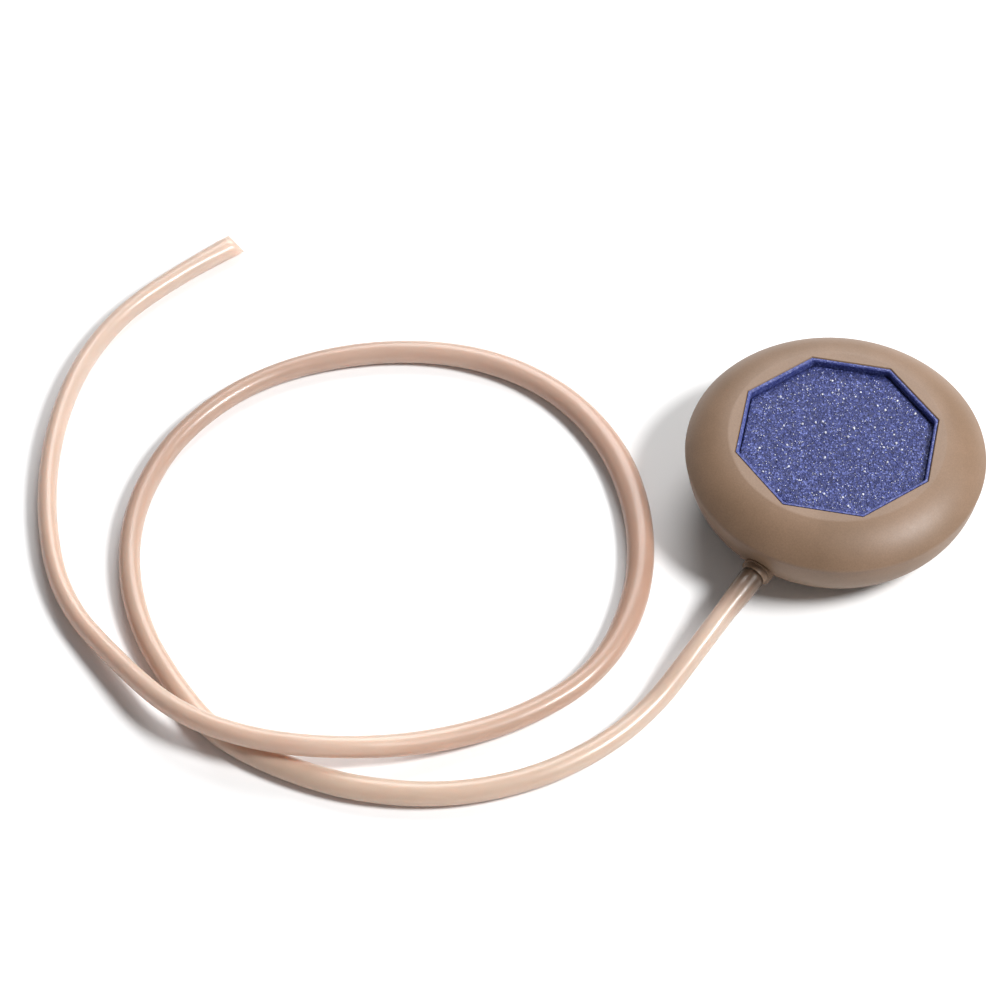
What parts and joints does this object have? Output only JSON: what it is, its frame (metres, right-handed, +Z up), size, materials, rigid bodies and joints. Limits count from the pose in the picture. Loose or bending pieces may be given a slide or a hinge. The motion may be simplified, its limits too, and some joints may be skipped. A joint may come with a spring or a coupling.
{
  "type": "aquarium air diffuser disc",
  "caption": "Pebble-shaped weighted air diffuser disc with an octagonal blue mineral stone on top, a barbed side inlet and a looped clear airline tube.",
  "frame": {"origin": "centre of the disc's outline, on the surface that its feet stand on; the tube and its inlet fitting aren't counted", "axes": "+Z up through the stone, -Y along the air inlet, corners of the octagonal stone on X and Y"},
  "size_m": [0.2509, 0.2114, 0.028],
  "materials": {
    "shell_taupe": "satin moulded plastic",
    "tray_blue": "smooth moulded plastic",
    "stone_blue": "granular, sparkling bonded mineral",
    "seal_rubber": "matte",
    "silicone_hose": "translucent silicone",
    "clear_tube": "clear flexible vinyl, glossy",
    "ballast_steel": "zinc-plated, stamped",
    "stainless_screw": "satin",
    "foot_rubber": "matte"
  },
  "bodies": {
    "disc": {"base_shell": "shell_taupe", "top_shell": "shell_taupe", "inlet_fitting": "shell_taupe", "shell_seal": "seal_rubber", "seat_gasket": "seal_rubber", "inlet_ring": "seal_rubber", "inner_hose": "silicone_hose", "airline_tube": "clear_tube", "ballast_plate_1": "ballast_steel", "ballast_plate_2": "ballast_steel", "ballast_plate_3": "ballast_steel", "shell_screw_1": "stainless_screw", "shell_screw_2": "stainless_screw", "shell_screw_3": "stainless_screw", "shell_screw_4": "stainless_screw", "foot_pad_1": "foot_rubber", "foot_pad_2": "foot_rubber", "foot_pad_3": "foot_rubber", "foot_pad_4": "foot_rubber"},
    "cartridge": {"stone_tray": "tray_blue", "stone_plate": "stone_blue", "stone_bed": "seal_rubber", "spigot_ring": "seal_rubber"}
  },
  "joints": [
    {"name": "stone_lift", "type": "slide", "parent": "disc", "child": "cartridge", "axis": [0, 0, 1], "range_m": [0, 0.024]}
  ]
}
